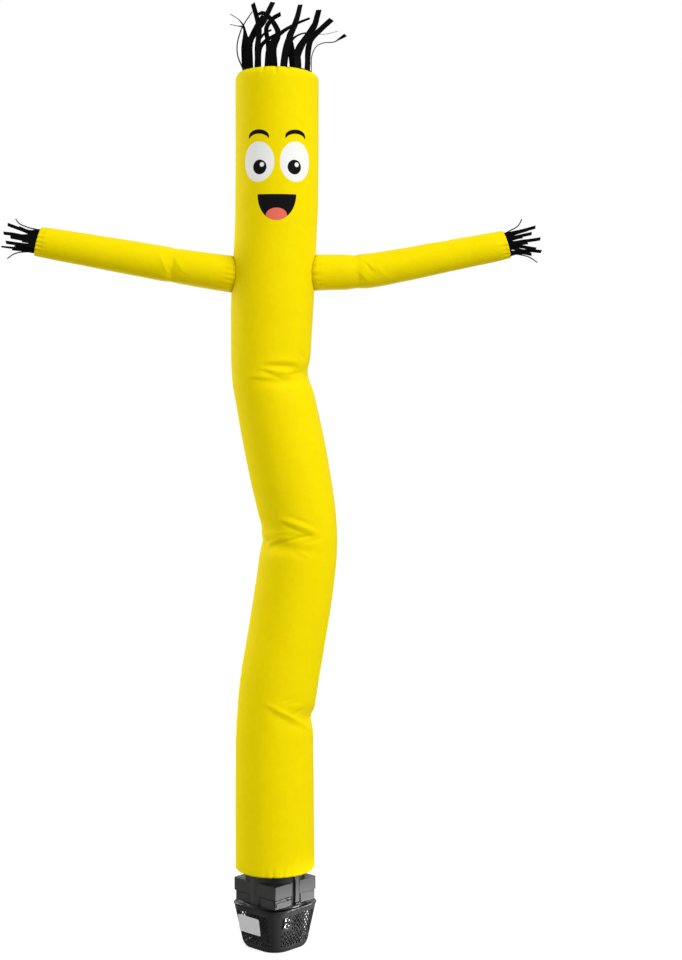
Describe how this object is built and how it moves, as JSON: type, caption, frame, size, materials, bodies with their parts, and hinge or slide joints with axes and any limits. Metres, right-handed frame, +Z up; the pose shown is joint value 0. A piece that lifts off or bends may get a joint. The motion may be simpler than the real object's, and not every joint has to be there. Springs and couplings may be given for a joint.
{
  "type": "inflatable air dancer on blower base",
  "caption": "Hollow nylon tube figure with sleeves and cut fringes, blown upright by a small corner-on blower with a tapered housing and rocker switches.",
  "frame": {"origin": "centre of the blower's flat underside", "axes": "+Z up along the tube, -Y the front with the blower's near corner, +X to the dancer's right-hand side as seen from the front"},
  "size_m": [1.0262, 0.169, 1.8],
  "materials": {
    "yellow_nylon": "satin",
    "black_fringe": "matte",
    "housing_plastic": "satin",
    "module_plastic": "satin",
    "flange_plastic": "satin",
    "fan_plastic": "satin",
    "cap_plastic": "gloss",
    "motor_steel": "satin",
    "label_film": "satin",
    "switch_plastic": "satin",
    "rocker_plastic": "gloss"
  },
  "bodies": {
    "dancer": {"base_plate": "housing_plastic", "housing_shell": "housing_plastic", "housing_lid": "module_plastic", "duct_flange": "flange_plastic", "corner_box_front": "module_plastic", "corner_box_right": "module_plastic", "corner_box_back": "module_plastic", "corner_box_left": "module_plastic", "latch_strap": "module_plastic", "latch_roller": "module_plastic", "motor_mount": "motor_steel", "label_plate": "label_film", "switch_case_upper": "switch_plastic", "switch_case_lower": "switch_plastic", "power_inlet": "switch_plastic", "body_tube": "yellow_nylon", "sleeve_left": "yellow_nylon", "sleeve_right": "yellow_nylon", "head_fringe": "black_fringe", "hand_fringe_left": "black_fringe", "hand_fringe_right": "black_fringe"},
    "fan": {"fan_rotor": "fan_plastic", "fan_cap": "cap_plastic"},
    "upper_rocker": {"rocker_upper": "rocker_plastic"},
    "lower_rocker": {"rocker_lower": "rocker_plastic"}
  },
  "joints": [
    {"name": "fan_spin", "type": "hinge", "parent": "dancer", "child": "fan", "pos_m": [0, 0, 0.128], "axis": [0, 0, 1], "continuous": true},
    {"name": "upper_rocker_tilt", "type": "hinge", "parent": "dancer", "child": "upper_rocker", "pos_m": [0.02276, -0.06518, 0.06676], "axis": [0.1106, -0.1106, 0.9877], "range_deg": [0, 18]},
    {"name": "lower_rocker_tilt", "type": "hinge", "parent": "dancer", "child": "lower_rocker", "pos_m": [0.02148, -0.06391, 0.05536], "axis": [0.1106, -0.1106, 0.9877], "range_deg": [0, 18]}
  ]
}
